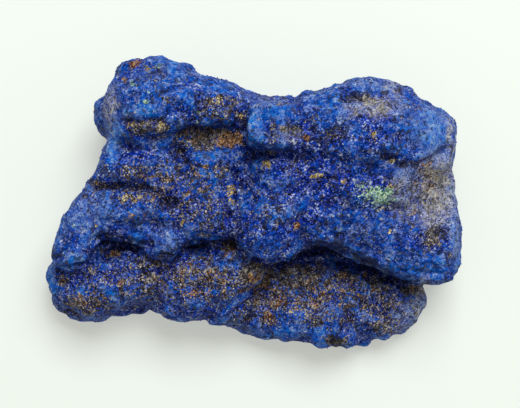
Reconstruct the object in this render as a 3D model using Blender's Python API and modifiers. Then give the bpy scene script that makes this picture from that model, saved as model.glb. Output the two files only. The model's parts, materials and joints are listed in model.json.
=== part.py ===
"""Azurite specimen: one lumpy piece of sandy rock, 77 mm long, crusted with blue azurite.

Run it with: blender --background --python part.py

The rock is one solid. Two thick slabs, a lower shelf and an upper mass that
overhangs it, give the outline and the long ledge. Rounded lobes swell out of
them, hollows are cut into them, and the underside is cut flat so that the
piece rests on it. Units are metres, +Z is up, and the origin is in the middle
of the flat underside.
"""

import random
from math import radians

import bmesh
import bpy
from mathutils import Euler, Matrix, Vector

MM = 0.001

VOXEL = 0.55
SMOOTH_PASSES = 4
KEPT_SHARE = 0.122
FLAT_CUT = 0.4

ROCK_NAME = "azurite_rock"
ROCK_COLOUR = (0.035, 0.075, 0.42, 1.0)
ROCK_ROUGHNESS = 0.82

# The lower shelf's outline seen from above, clockwise from its right end.
SHELF_OUTLINE = [
    (31.2, -12.0), (30.4, -17.6), (28.6, -20.8), (24.8, -23.2), (20.2, -24.6), (16.7, -25.6),
    (12.5, -24.9), (6.5, -24.3), (1.0, -23.0), (-3.0, -21.8), (-5.5, -20.6), (-10.3, -20.0),
    (-14.0, -18.7), (-17.5, -17.9), (-22.0, -19.0), (-25.5, -19.2), (-29.0, -19.7),
    (-32.3, -20.0), (-35.6, -17.6), (-37.7, -15.0), (-37.8, -11.5), (-36.0, -7.0),
    (-33.9, -1.0), (-29.9, 3.6), (-26.7, 9.6), (-27.4, 13.2), (-27.6, 18.6), (-24.8, 22.2),
    (-18.0, 24.0), (-8.0, 22.0), (2.0, 18.5), (10.0, 19.0), (20.0, 21.6), (27.0, 17.4),
    (34.0, 12.6), (36.6, 6.0), (37.2, -1.0), (36.0, -7.0),
]

# The upper mass's outline: its front edge, from the right end to the left, is the long ledge.
UPPER_OUTLINE = [
    (37.1, -10.8), (35.3, -12.9), (31.5, -13.8), (26.5, -13.0), (22.5, -11.0), (19.0, -8.8),
    (15.5, -6.9), (12.0, -6.5), (9.4, -7.6), (6.6, -9.4), (2.2, -10.0), (-1.0, -8.8),
    (-2.8, -6.6), (-5.0, -5.2), (-8.0, -5.4), (-11.0, -6.7), (-12.6, -8.4), (-15.5, -9.8),
    (-18.5, -8.5), (-20.5, -6.6), (-24.0, -6.2), (-27.0, -6.7), (-29.0, -8.6),
    (-31.0, -11.0), (-33.4, -11.8), (-35.6, -10.6), (-36.4, -7.6), (-35.0, -4.0),
    (-33.4, 0.0), (-30.2, 4.2), (-26.1, 9.8), (-26.2, 15.0), (-25.2, 21.0), (-23.0, 25.0),
    (-19.5, 26.4), (-13.4, 26.5), (-10.5, 24.3), (-4.0, 22.0), (0.5, 20.5), (5.0, 19.6),
    (8.0, 19.6), (10.1, 20.9), (15.0, 21.8), (20.5, 23.4), (23.4, 22.6), (26.6, 18.9),
    (33.6, 17.6), (36.5, 14.2), (36.2, 9.4), (35.6, 7.0), (36.3, 3.0), (36.8, -3.2),
]

# Lobes: name, centre, half sizes, turns about X, Y and Z in degrees, and squareness,
# which is 2 for an ellipsoid and more for a boxier lump.
LOBES = [
    # the head, the high mass at the left of the back edge
    ("head_main", (-17.0, 17.0, 18.0), (9.0, 7.0, 8.2), (0, 0, -12), 2.4),
    ("head_west", (-22.2, 18.0, 16.0), (4.6, 6.0, 7.4), (0, 0, 0), 2.3),
    ("head_north", (-13.5, 20.4, 17.0), (6.5, 4.4, 6.5), (0, 0, -18), 2.2),
    ("head_tip", (-21.6, 23.6, 16.0), (3.2, 2.6, 4.4), (0, 0, 0), 2.2),
    ("head_tail", (-5.0, 17.8, 16.5), (9.5, 3.6, 6.4), (0, 8, -14), 2.4),
    ("head_chin", (-20.6, 13.8, 18.0), (5.2, 3.4, 6.2), (0, 0, 0), 2.2),
    ("head_brow", (-8.0, 15.5, 19.4), (9.2, 2.5, 4.4), (0, 6, -4), 3.0),
    ("west_cheek", (-26.0, 16.6, 8.5), (2.7, 4.6, 8.6), (0, -8, 0), 2.2),
    ("west_shoulder", (-24.4, 8.4, 12.0), (3.2, 6.0, 9.0), (0, -8, -8), 2.3),
    # the squarish block beside the head, and the broad dome that fills the back right corner
    ("block", (2.5, 13.4, 19.2), (4.3, 4.0, 9.8), (4, 0, -4), 5.0),
    ("block_back", (7.4, 15.0, 17.0), (4.6, 4.4, 10.0), (0, 0, 0), 2.6),
    ("block_east", (8.4, 11.6, 17.0), (3.2, 4.4, 9.8), (0, 0, 0), 2.5),
    ("dome_main", (21.0, 12.2, 16.5), (14.0, 8.4, 12.6), (0, 0, -8), 2.5),
    ("dome_west", (13.0, 14.6, 17.0), (7.6, 6.4, 11.2), (0, 0, 10), 2.3),
    ("dome_north", (21.6, 16.8, 14.5), (8.2, 6.0, 12.4), (0, 0, -9), 2.3),
    ("dome_rim", (29.8, 10.8, 15.2), (6.0, 6.4, 10.8), (0, 6, 0), 2.4),
    # the long slope down to the ledge, with the belly that bulges over it
    ("slope_top", (18.4, 6.4, 15.4), (13.0, 7.0, 10.8), (12, 0, 0), 2.6),
    ("slope_main", (14.4, 0.8, 13.6), (13.6, 7.4, 10.0), (12, 0, 0), 2.6),
    ("slope_west", (4.6, 5.4, 13.5), (6.4, 5.2, 10.4), (8, 0, 0), 2.4),
    ("slope_east", (23.0, -3.2, 12.0), (11.5, 7.4, 9.6), (8, 0, -14), 2.6),
    ("belly", (2.8, -2.4, 13.8), (6.8, 7.8, 10.4), (6, 0, 0), 2.4),
    ("belly_foot", (5.4, -5.8, 12.0), (5.4, 3.8, 8.2), (0, 0, 14), 2.2),
    ("ledge_corner", (29.2, -8.4, 11.0), (7.4, 5.2, 9.2), (0, 0, -8), 2.6),
    ("east_rim", (33.6, -4.4, 10.5), (3.5, 6.0, 9.2), (0, 4, 0), 2.2),
    # the middle of the left half
    ("mid_west", (-19.6, 6.8, 13.2), (7.6, 4.6, 9.0), (0, 0, 6), 2.4),
    ("mid_east", (-9.0, 6.2, 13.0), (6.6, 4.4, 8.8), (0, 0, 0), 2.4),
    ("mid_plateau", (-13.5, 3.0, 11.6), (14.5, 6.8, 9.2), (10, 0, 0), 2.8),
    ("mid_south", (-7.6, -0.8, 12.0), (7.2, 5.0, 9.2), (8, 0, 0), 2.5),
    # the arm, a rounded ridge that runs down to the left, and the nose beside it
    ("arm_upper", (-23.8, -1.0, 11.2), (8.8, 4.0, 9.0), (0, -5, 12), 2.4),
    ("arm_elbow", (-29.0, -3.8, 10.0), (5.4, 4.8, 8.4), (0, 0, 30), 2.3),
    ("arm_lower", (-31.8, -7.4, 8.6), (4.4, 5.2, 7.8), (0, 0, -28), 2.3),
    ("nose", (-16.0, -6.8, 12.6), (3.4, 3.8, 7.2), (0, 0, 0), 2.6),
    # the front: a lobe at the left, a middle lobe, and the low shelf to the right
    ("front_left", (-28.8, -14.0, 5.4), (7.6, 5.6, 8.8), (0, 0, 0), 2.6),
    ("front_left_rim", (-34.9, -14.8, 4.0), (2.6, 4.6, 7.0), (0, 0, -20), 2.2),
    ("front_mid_left", (-21.0, -11.8, 6.0), (7.6, 5.6, 8.8), (8, 0, 0), 2.4),
    ("front_mid", (-11.0, -13.0, 5.6), (8.8, 6.8, 10.4), (8, 0, 20), 2.6),
    ("front_mid_east", (-4.9, -11.2, 5.8), (6.8, 4.8, 10.6), (8, 0, 38), 3.4),
    ("front_mid_back", (-9.4, -8.4, 6.4), (4.8, 3.6, 8.8), (0, 0, 0), 2.3),
    ("shelf_west", (9.5, -16.2, 1.6), (11.5, 7.6, 8.8), (9, 0, 0), 2.6),
    ("shelf_east", (20.5, -16.4, 1.6), (10.0, 7.6, 8.8), (9, 0, 0), 2.6),
]

# Hollows, cut out of the joined lobes. The fields are those of the lobes.
HOLLOWS = [
    ("cave_under_brow", (-7.2, 12.0, 22.4), (6.4, 1.7, 3.4), (0, 0, -3), 2.6),
    ("cave_west", (-14.5, 11.2, 23.4), (3.8, 1.3, 2.2), (0, 0, 8), 2.2),
    ("block_west_face", (-2.5, 12.6, 25.4), (0.9, 4.2, 5.2), (0, 0, -4), 3.0),
    ("block_foot", (2.4, 8.6, 27.0), (4.4, 0.9, 3.6), (0, 0, -4), 2.6),
    ("arm_crease", (-22.0, 3.2, 21.0), (6.4, 0.7, 1.5), (0, 0, 5), 2.0),
    ("arm_pit", (-15.2, 0.6, 21.6), (2.0, 1.7, 1.9), (0, 0, 0), 2.2),
    ("belly_groove", (-4.9, 0.4, 21.4), (0.9, 6.0, 2.8), (0, 0, 6), 2.2),
    ("arm_cave", (-24.4, -7.2, 14.6), (5.0, 1.2, 2.4), (0, 0, -4), 2.4),
    ("ledge_shadow", (11.6, -8.4, 12.0), (5.2, 2.6, 3.0), (0, 0, -4), 2.4),
    ("ledge_shadow_east", (19.6, -10.6, 11.4), (6.4, 2.2, 2.4), (0, 6, -26), 2.4),
    ("nose_cave", (-9.8, -7.8, 15.2), (2.3, 1.1, 2.6), (0, 0, 0), 2.2),
    ("nose_groove", (-11.4, -4.4, 20.6), (0.8, 2.8, 1.6), (0, 0, -14), 2.0),
    ("east_pit", (32.0, -5.4, 19.8), (2.0, 1.5, 2.2), (0, 0, 30), 2.0),
    ("east_pit_dish", (32.6, -7.2, 19.6), (2.6, 2.2, 1.4), (0, 0, 30), 2.0),
    ("dome_pit", (18.2, 19.0, 27.6), (2.6, 0.8, 1.6), (0, 0, 10), 2.0),
    ("slope_pit", (27.2, 6.6, 25.0), (1.6, 0.7, 1.8), (0, 0, -12), 2.0),
    ("east_bite", (37.2, 3.6, 19.0), (4.8, 3.8, 7.0), (0, -30, 0), 2.2),
    ("front_notch", (14.6, -26.4, 6.0), (2.6, 1.6, 5.0), (0, 0, 0), 2.2),
    ("head_notch", (-16.6, 24.8, 22.6), (0.9, 2.4, 3.4), (0, 0, 0), 2.0),
    ("head_valley", (-14.2, 14.6, 26.6), (0.9, 3.4, 1.6), (0, 0, 14), 2.0),
    ("front_gap", (-20.4, -15.4, 16.2), (1.8, 4.6, 2.4), (0, 0, -8), 2.0),
]


def clear_scene():
    for obj in list(bpy.data.objects):
        bpy.data.objects.remove(obj)


def collection(name):
    made = bpy.data.collections.new(name)
    bpy.context.scene.collection.children.link(made)
    return made


def slab(outline, middle, thickness, rounding, pitch):
    """A slab with this outline and a round rim, tilted about X, as a mesh."""
    curve = bpy.data.curves.new("slab", "CURVE")
    curve.dimensions = "2D"
    curve.fill_mode = "BOTH"
    curve.resolution_u = 4
    curve.bevel_resolution = 4
    curve.offset = -rounding * MM
    curve.bevel_depth = rounding * MM
    curve.extrude = (thickness / 2 - rounding) * MM
    spline = curve.splines.new("BEZIER")
    spline.bezier_points.add(len(outline) - 1)
    for point, (x, y) in zip(spline.bezier_points, outline):
        point.co = (x * MM, y * MM, 0)
        point.handle_left_type = point.handle_right_type = "AUTO"
    spline.use_cyclic_u = True
    obj = bpy.data.objects.new("slab", curve)
    obj.location.z = middle * MM
    obj.rotation_euler.x = radians(pitch)
    bpy.context.scene.collection.objects.link(obj)
    bpy.context.view_layer.update()
    graph = bpy.context.evaluated_depsgraph_get()
    mesh = bpy.data.meshes.new_from_object(obj.evaluated_get(graph))
    mesh.transform(obj.matrix_world)
    bpy.data.objects.remove(obj)
    return mesh


def lobe(centre, half_sizes, turns=(0, 0, 0), squareness=2.0):
    """A rounded lump, from an ellipsoid to a soft box, as a mesh."""
    bm = bmesh.new()
    bmesh.ops.create_icosphere(bm, subdivisions=4, radius=1.0)
    for vert in bm.verts:
        spread = sum(abs(c) ** squareness for c in vert.co) ** (1 / squareness)
        vert.co /= spread
    place = Matrix.LocRotScale(
        Vector(centre) * MM, Euler([radians(t) for t in turns]), Vector(half_sizes) * MM
    )
    bmesh.ops.transform(bm, matrix=place, verts=bm.verts)
    mesh = bpy.data.meshes.new("lobe")
    bm.to_mesh(mesh)
    bm.free()
    return mesh


def wall_lobes(outline, inset, heights, sizes, seed):
    """Lumps of mixed size set along an outline, so that the walls under it are uneven."""
    rng = random.Random(seed)
    made = []
    count = len(outline)
    for i, (x, y) in enumerate(outline):
        ahead, behind = Vector(outline[(i + 1) % count]), Vector(outline[i - 1])
        along = (ahead - behind).normalized()
        size = rng.uniform(*sizes)
        inward = Vector((along.y, -along.x)) * (inset + size)
        centre = (x + inward.x, y + inward.y, rng.uniform(*heights))
        half_sizes = (size, size * rng.uniform(0.7, 1.3), size * rng.uniform(0.9, 1.5))
        made.append(lobe(centre, half_sizes, turns=(0, 0, rng.uniform(0, 180)), squareness=2.3))
    return made


def joined(meshes, name):
    bm = bmesh.new()
    for mesh in meshes:
        bm.from_mesh(mesh)
    made = bpy.data.meshes.new(name)
    bm.to_mesh(made)
    bm.free()
    return made


def add_remesh(obj, name, voxel):
    remesh = obj.modifiers.new(name, "REMESH")
    remesh.mode = "VOXEL"
    remesh.voxel_size = voxel * MM


def add_roughness(obj, name, kind, scale, strength):
    """Moves the surface in and out by a cloud or cell pattern of this scale, both in mm."""
    texture = bpy.data.textures.new(name, kind)
    texture.noise_scale = scale * MM
    displace = obj.modifiers.new(name, "DISPLACE")
    displace.texture = texture
    displace.texture_coords = "LOCAL"
    displace.strength = strength * MM
    displace.mid_level = 0.5


def box(name, lowest, highest):
    """A closed box between these two corners, as a mesh."""
    bm = bmesh.new()
    bmesh.ops.create_cube(bm, size=1.0)
    size = Vector(highest) - Vector(lowest)
    middle = (Vector(highest) + Vector(lowest)) / 2
    bmesh.ops.transform(bm, matrix=Matrix.LocRotScale(middle * MM, None, size * MM), verts=bm.verts)
    made = bpy.data.meshes.new(name)
    bm.to_mesh(made)
    bm.free()
    return made


def add_cut(obj, name, cutter):
    cut = obj.modifiers.new(name, "BOOLEAN")
    cut.operation = "DIFFERENCE"
    cut.solver = "EXACT"
    cut.object = cutter


def as_cutter(name, mesh, holder):
    cutter = bpy.data.objects.new(name, mesh)
    cutter.hide_render = True
    cutter.display_type = "WIRE"
    holder.objects.link(cutter)
    return cutter


def centred(obj):
    """The finished shape, moved so that the middle of its flat underside is at the origin."""
    graph = bpy.context.evaluated_depsgraph_get()
    made = bpy.data.meshes.new_from_object(obj.evaluated_get(graph), depsgraph=graph)
    points = [vertex.co for vertex in made.vertices]
    low = Vector([min(point[axis] for point in points) for axis in range(3)])
    high = Vector([max(point[axis] for point in points) for axis in range(3)])
    made.transform(Matrix.Translation((-(low.x + high.x) / 2, -(low.y + high.y) / 2, -low.z)))
    return made


def rock_material():
    material = bpy.data.materials.new("azurite_crust")
    material.use_nodes = True
    shader = material.node_tree.nodes["Principled BSDF"]
    shader.inputs["Base Color"].default_value = ROCK_COLOUR
    shader.inputs["Roughness"].default_value = ROCK_ROUGHNESS
    shader.inputs["Metallic"].default_value = 0.0
    return material


def main():
    clear_scene()
    rocks = collection("azurite_specimen")
    cutters = collection("cutters")
    lumps = [
        slab(SHELF_OUTLINE, middle=2.8, thickness=14.0, rounding=4.0, pitch=9),
        slab(UPPER_OUTLINE, middle=12.6, thickness=11.5, rounding=2.8, pitch=6),
    ]
    lumps += [lobe(*shape) for _, *shape in LOBES]
    lumps += wall_lobes(SHELF_OUTLINE, inset=-0.7, heights=(1.5, 7.0), sizes=(2.6, 5.0), seed=3)
    lumps += wall_lobes(UPPER_OUTLINE, inset=-0.2, heights=(9.0, 14.0), sizes=(2.2, 4.0), seed=7)
    hollows = as_cutter("hollows", joined([lobe(*shape) for _, *shape in HOLLOWS], "hollows"), cutters)
    add_remesh(hollows, "one_skin", VOXEL / 2)
    below = as_cutter("below", box("below", (-60, -60, -40), (60, 60, FLAT_CUT)), cutters)

    rock = bpy.data.objects.new(ROCK_NAME, joined(lumps, ROCK_NAME))
    rocks.objects.link(rock)
    add_remesh(rock, "one_skin", VOXEL)
    add_cut(rock, "hollows", hollows)
    add_remesh(rock, "even_skin", VOXEL)
    smooth = rock.modifiers.new("soften", "SMOOTH")
    smooth.factor = 0.5
    smooth.iterations = SMOOTH_PASSES
    add_roughness(rock, "broad_lumps", "CLOUDS", scale=6.0, strength=2.2)
    add_roughness(rock, "small_lumps", "CLOUDS", scale=2.4, strength=1.1)
    thin = rock.modifiers.new("fewer_faces", "DECIMATE")
    thin.ratio = KEPT_SHARE
    add_cut(rock, "flat_underside", below)

    shape = centred(rock)
    rock.modifiers.clear()
    rock.data = shape
    shape.materials.append(rock_material())
    shape.polygons.foreach_set("use_smooth", [True] * len(shape.polygons))


main()
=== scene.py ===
"""Looks of an azurite specimen: a lump of sandy rock crusted with blue azurite crystals.

The rock is a fine-skinned copy of the solid, carved and roughened. One material colours it,
grain by grain: azurite, sand, iron ochre, clay and a little malachite, each where it grows.
Crystals and sand grains are then strewn over it as real meshes, more of each kind where the
crust holds more of it. Places and sizes in the tables are in millimetres.
"""
import json
from math import cos, radians, sin

import bpy
import numpy as np
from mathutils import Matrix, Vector, noise

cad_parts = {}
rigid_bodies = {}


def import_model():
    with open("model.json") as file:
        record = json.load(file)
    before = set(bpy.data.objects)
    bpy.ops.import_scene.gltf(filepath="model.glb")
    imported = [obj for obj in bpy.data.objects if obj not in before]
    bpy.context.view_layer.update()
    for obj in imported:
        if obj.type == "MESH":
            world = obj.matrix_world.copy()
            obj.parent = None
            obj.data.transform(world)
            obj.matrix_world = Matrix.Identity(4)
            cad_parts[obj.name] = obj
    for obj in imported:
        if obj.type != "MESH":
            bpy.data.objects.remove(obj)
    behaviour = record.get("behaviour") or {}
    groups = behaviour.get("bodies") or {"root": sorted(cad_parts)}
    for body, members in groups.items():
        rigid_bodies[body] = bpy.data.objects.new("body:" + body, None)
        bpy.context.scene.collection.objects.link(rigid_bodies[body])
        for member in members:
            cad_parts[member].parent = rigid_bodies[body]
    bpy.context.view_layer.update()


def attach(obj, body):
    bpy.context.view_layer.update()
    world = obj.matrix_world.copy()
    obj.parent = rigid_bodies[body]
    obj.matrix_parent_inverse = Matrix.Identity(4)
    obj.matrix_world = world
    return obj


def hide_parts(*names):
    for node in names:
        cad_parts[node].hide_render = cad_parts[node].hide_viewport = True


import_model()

MM = 0.001
NODE = "azurite_rock"

# The camera looks almost straight down, from in front.
LENS, SENSOR = 100.0, 36.0
FRAME_WIDTH = 0.0940
ELEVATION = radians(86)
AIM = Vector((0.00135, -0.00036, 0.014))
EYE = AIM + Vector((0, -cos(ELEVATION), sin(ELEVATION))) * FRAME_WIDTH * LENS / SENSOR

# The skin, in mm: the spacing of its points, the heights above the underside where carving
# and roughness start and where grains start, each with the height over which it grows to its
# full strength, and the height that is pressed flat onto the underside
SKIN_GRID = 0.38
ROUGH_FROM, ROUGH_OVER = 0.3, 1.2
GRAINS_FROM, GRAINS_OVER = 0.4, 0.6
PRESSED_FLAT = 0.15

# How many times the skin is smoothed before it is carved. To find small hollows and wide
# ones, it is compared with a smoother copy of itself: how many times that is smoothed, and
# how deep in mm a hollow is when its colour is in full painted shade.
SKIN_SMOOTHING = 5
SMALL_HOLLOWS, SMALL_DEPTH = 20, 0.20
WIDE_HOLLOWS, WIDE_DEPTH = 160, 0.75

# The skin's roughness, coarse to fine: name, pattern, size and strength in mm
ROUGHNESS = [
    ("lumps", "CLOUDS", 2.4, 0.8),
    ("nodules", "VORONOI", 2.2, -0.6),
    ("beads", "VORONOI", 0.95, -0.25),
    ("grit", "STUCCI", 0.6, 0.12),
]

# Patches of the crust on a plan seen from above: x, y, half length, half width, turn in
# degrees, strength.

# Quartz sand and clay, from almost black to tan
SANDY = [
    (14.9, -17.2, 13.7, 5.4, -4, 0.63), (-18.5, -15.2, 17.3, 4.7, 0, 0.5),
    (-15.8, 2.7, 12.6, 5.1, 0, 0.52), (-8.6, -1.1, 6.1, 4.7, 0, 0.52), (-7.3, 11.6, 6.1, 2, 0, 0.85),
    (-5.9, 17, 5.1, 2, 0, 0.6), (24.5, 17.3, 6.9, 2.2, -12, 0.45), (-19.4, 13.9, 3.8, 1.4, 0, 0.8),
    (-16.7, 13, 1.3, 1.3, 0, 0.8), (-6.1, 18.6, 2.7, 0.9, 5, 0.88), (-4.4, 16.3, 4, 1.8, 0, 0.55),
    (-12, 13, 2.2, 0.9, 0, 0.7), (-4.4, 11.6, 3.1, 1.4, 0, 0.75), (-14.2, 11.7, 0.9, 1.6, 0, 0.7),
    (-10, 9.6, 1.1, 0.7, 0, 0.8), (-18, 22.8, 2.2, 1.4, 0, 0.6), (-16, 18.6, 0.9, 0.7, 0, 0.6),
    (-17.3, 24.6, 1.4, 0.7, 0, 0.7), (-15.8, 18.8, 1.4, 0.7, -45, 0.75), (-21.8, 5.4, 2.9, 1.3, 0, 0.8),
    (-26.5, 6.1, 0.7, 1.1, 0, 0.7), (-27.2, 2.9, 1.4, 0.9, 0, 0.75), (-28.5, 2.5, 0.9, 2.2, -25, 0.6),
    (-18.5, 7.6, 5.1, 1.3, 0, 0.35), (-15.4, 3.8, 1.1, 0.7, 0, 0.8), (-5.5, 5.4, 1.6, 1.4, -30, 0.7),
    (-8.8, 6.5, 0.9, 0.5, 0, 0.8), (-7.9, 1.1, 1.4, 1.4, 0, 0.55), (-10.2, -0.9, 2.2, 1.8, 0, 0.4),
    (-8.6, -3.6, 2.5, 1.4, 0, 0.5), (-9.5, -6, 1.8, 0.5, 0, 0.6), (-3.2, -3.6, 1.4, 2.5, 0, 0.35),
    (-22.1, 0.7, 2.9, 1.1, 0, 0.8), (-30.1, -1.8, 1.3, 0.5, 0, 0.6), (-26.8, -1.8, 0.9, 0.5, 0, 0.5),
    (-28.5, -4.3, 0.9, 0.7, 0, 0.7), (-21.8, -2.9, 0.9, 0.7, 0, 0.7), (-27.6, -9, 1.4, 0.7, 0, 0.7),
    (-24.8, -9.4, 1.8, 0.9, 0, 0.85), (-18.5, -10.8, 3.3, 1.4, 0, 0.6), (-8.6, -10.8, 3.6, 1.6, 0, 0.55),
    (-8.6, -14.5, 7.6, 4.3, -8, 0.68), (-3.9, -8.3, 1.8, 1.4, 0, 0.8), (-18.7, -14.8, 2.3, 3.1, 0, 0.7),
    (-11.3, -16.3, 2.9, 1.1, -10, 0.6), (-14.9, -15, 5.4, 2.5, 0, 0.4), (-23.6, -14.8, 0.9, 0.9, 0, 0.7),
    (-29, -18.4, 5.8, 2, 6, 0.72), (-31.9, -17.2, 1.4, 0.9, 20, 0.8), (-34.1, -14.5, 0.9, 1.1, 0, 0.9),
    (-32.1, -12.6, 1.4, 1.1, 0, 0.5), (-29, -12.3, 1.1, 0.9, 0, 0.6), (-22.1, -17.2, 2.5, 1.1, 0, 0.6),
    (-18.5, -17, 3.6, 1.1, 0, 0.5), (8.6, -13.4, 6.1, 2.5, 0, 0.85), (16.7, -13.4, 2.9, 1.4, -15, 0.75),
    (22.1, -14.5, 3.6, 1.4, -25, 0.7), (28.8, -15.9, 2.5, 1.1, 0, 0.85), (0.3, -13.7, 3.6, 2.9, 0, 0.95),
    (2.4, -16.6, 3.3, 2.2, 0, 0.7), (4.6, -18.1, 2.5, 1.4, 0, 0.8), (-0.1, -18.1, 1.4, 1.4, 0, 0.7),
    (11.3, -18.1, 1.8, 1.1, 0, 0.65), (11.1, -21.3, 2.9, 1.8, 0, 0.7), (15.8, -17.7, 5.4, 3.6, 0, 0.4),
    (23.9, -22.2, 2.5, 1.8, 0, 0.8), (28.5, -19.2, 1.8, 2.2, 0, 0.7), (21.2, -17.7, 2.9, 1.8, 0, 0.6),
    (2.8, -21, 1.6, 1.4, 30, 0.8), (14.7, -25.1, 2.2, 1.1, 0, 0.9), (-1.4, -20.4, 2.9, 2.2, 20, 0.55),
    (3.5, 14.1, 0.7, 1.4, 0, 0.8), (6.4, 13.2, 2.3, 0.7, 0, 0.75), (3.7, 11.4, 0.7, 0.9, 0, 0.7),
    (2.3, 12.6, 1.8, 1.4, 0, 0.35), (5.5, 17.9, 1.3, 0.5, 0, 0.8), (21.2, 18.4, 2, 1.1, -10, 0.8),
    (23.9, 20.6, 1.6, 1.1, -30, 0.5), (23, 17.5, 1.4, 1.3, 0, 0.6), (11.8, 15.2, 1.8, 0.9, 0, 0.55),
    (17.6, 16.3, 3.6, 1.1, 0, 0.4), (25.7, 16.3, 2.9, 1.1, 0, 0.4), (30.3, 17.2, 1.1, 0.5, 0, 0.7),
    (33.9, 14.8, 1.3, 0.9, -35, 0.7), (14.9, 12.6, 2.2, 1.4, 0, 0.6), (32.6, -6.5, 1.8, 1.4, 0, 0.9),
    (31, -9.2, 0.9, 0.7, 0, 0.8), (35.7, -9.4, 1.1, 0.7, 0, 0.8), (29, -1.4, 0.9, 1.6, -20, 0.7),
    (7.3, 6.7, 0.9, 1.3, 0, 0.6), (4.4, -1.8, 1.6, 0.9, 0, 0.45), (0.5, -1.8, 1.8, 1.4, 0, 0.35),
    (2.8, -0.7, 5.4, 4.3, 0, 0.38), (23.6, -0.9, 1.4, 0.9, 0, 0.7), (27.6, -2.5, 2.9, 4, 0, 0.42),
    (20.5, -2.9, 0.7, 0.9, 0, 0.5), (19.8, -5.4, 1.8, 0.9, 0, 0.45), (25.9, -9, 0.5, 0.7, 0, 0.8),
    (32.8, 2.2, 3.1, 5.1, 0, 0.56), (32.4, 5.4, 2.3, 2, 0, 0.65), (-11.7, 11.2, 4, 1.6, 0, 0.6),
    (-13.5, 9, 2.2, 1.4, 0, 0.5),
]
# Limonite, golden
GOLD = [
    (2.3, 6.9, 0.7, 0.7, 0, 1), (11.6, 4.7, 1.2, 0.4, 8, 1), (16.4, 3.6, 0.5, 0.5, 0, 0.9),
    (-3.9, 1.6, 0.4, 2, 6, 0.95), (24.8, 2.7, 0.6, 0.6, 0, 0.95), (-21.1, 14.3, 1.4, 0.5, 0, 0.6),
    (-16.5, 13.7, 0.5, 0.9, 0, 0.7), (-6.1, 18.6, 1.4, 0.5, 5, 0.65), (-23.2, 0.9, 0.9, 0.5, 0, 0.8),
    (-21.1, 0.5, 0.9, 0.5, 0, 0.6), (-28.3, -4.3, 0.5, 0.5, 0, 0.8), (22, 12.3, 0.6, 0.6, 0, 0.85),
    (25.2, 7.6, 0.5, 0.4, 0, 0.8), (24.8, -5.2, 0.4, 0.6, 0, 0.8), (-12.7, -3.4, 0.4, 1.1, 0, 0.7),
    (-7.5, 1.6, 0.7, 0.9, 0, 0.6), (-22.1, -11.6, 0.5, 0.6, 0, 0.8), (-11.5, -12.8, 0.6, 0.6, 0, 0.7),
    (-14.9, -12.8, 0.4, 0.6, 0, 0.6), (-1.9, 15.6, 0.5, 0.5, 0, 0.8), (33.3, 4.3, 0.7, 0.6, 0, 0.7),
    (-19.2, 24.2, 0.5, 0.5, 0, 0.6), (-0.1, 3.6, 0.5, 0.5, 0, 0.6), (1.2, -11.4, 0.7, 0.5, 0, 0.7),
    (6.8, -19.7, 0.5, 0.5, 0, 0.7),
]
# Iron ochre, brown to orange
RUST = [
    (-8.6, 11.9, 4.7, 1.4, 0, 0.3), (32.1, 4.7, 2.5, 3.3, 0, 0.5), (30.3, -1.4, 1.4, 2.2, 0, 0.25),
    (-10.9, 12.3, 3.3, 1.1, 0, 0.35), (1.7, -14.8, 3.3, 2.2, 0, 0.55), (-4.4, 11.4, 2.5, 1.1, 12, 1),
    (-2.3, 11.4, 0.9, 1.1, 0, 0.9), (8, -4.2, 0.6, 0.7, 0, 1), (9.7, 11.7, 0.7, 0.5, 0, 0.95),
    (-24.8, -9.4, 1.3, 0.7, 0, 0.8), (-21.8, -2.7, 0.7, 0.5, 0, 0.7), (-19.4, -2.3, 0.7, 0.5, 0, 0.7),
    (-11.3, -16.3, 1.8, 0.6, -12, 0.8), (-23.8, -14.6, 0.6, 0.6, 0, 0.8),
    (-12.2, -11.2, 1.3, 0.4, -5, 0.85), (-3.9, -8.9, 1.4, 0.7, 35, 0.8), (5, -17.9, 1.8, 0.9, -10, 0.8),
    (3, -21, 1.1, 1.1, 35, 0.85), (-2.3, -15.9, 0.5, 0.5, 0, 0.8), (12.6, -16.3, 0.5, 0.5, 0, 0.7),
    (20.5, -13.4, 0.6, 0.7, 0, 0.8), (17.6, -14.8, 0.5, 0.6, 0, 0.7), (16.4, -13.4, 0.7, 0.9, 0, 0.5),
    (10.9, -17.9, 0.6, 0.6, 0, 0.7), (-21.4, 25.3, 1.1, 0.9, 20, 1), (-23.2, 22.4, 0.5, 0.7, 0, 0.9),
    (-34.1, -14.5, 0.5, 0.7, 0, 0.8), (-31.7, -17.2, 0.9, 0.5, 25, 0.8), (-8.8, 6.5, 0.6, 0.4, 0, 0.8),
    (-20, 4.9, 0.5, 0.5, 0, 0.7), (-15.6, 3.8, 0.5, 0.5, 0, 0.6), (-11.3, 2, 0.5, 0.5, 0, 0.7),
    (29.2, -1.8, 0.5, 1.1, -20, 0.6), (0.1, -17.7, 0.7, 0.7, 0, 0.6), (-12.4, 13, 1.4, 0.5, 0, 0.5),
    (-8.4, 12.8, 1.1, 0.5, 0, 0.5), (-8.6, -14.8, 8, 3.6, -8, 0.36), (12.6, -17, 11.9, 4.3, -4, 0.34),
    (-29.4, -18.1, 5.4, 1.8, 6, 0.4), (-14.9, 3.1, 10.8, 4.3, 0, 0.28), (-0.6, -13.2, 0.7, 0.7, 0, 0.5),
    (28.8, -15.5, 0.9, 0.5, 0, 0.5), (-27.9, 3.1, 0.9, 0.5, 0, 0.5),
]
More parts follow.
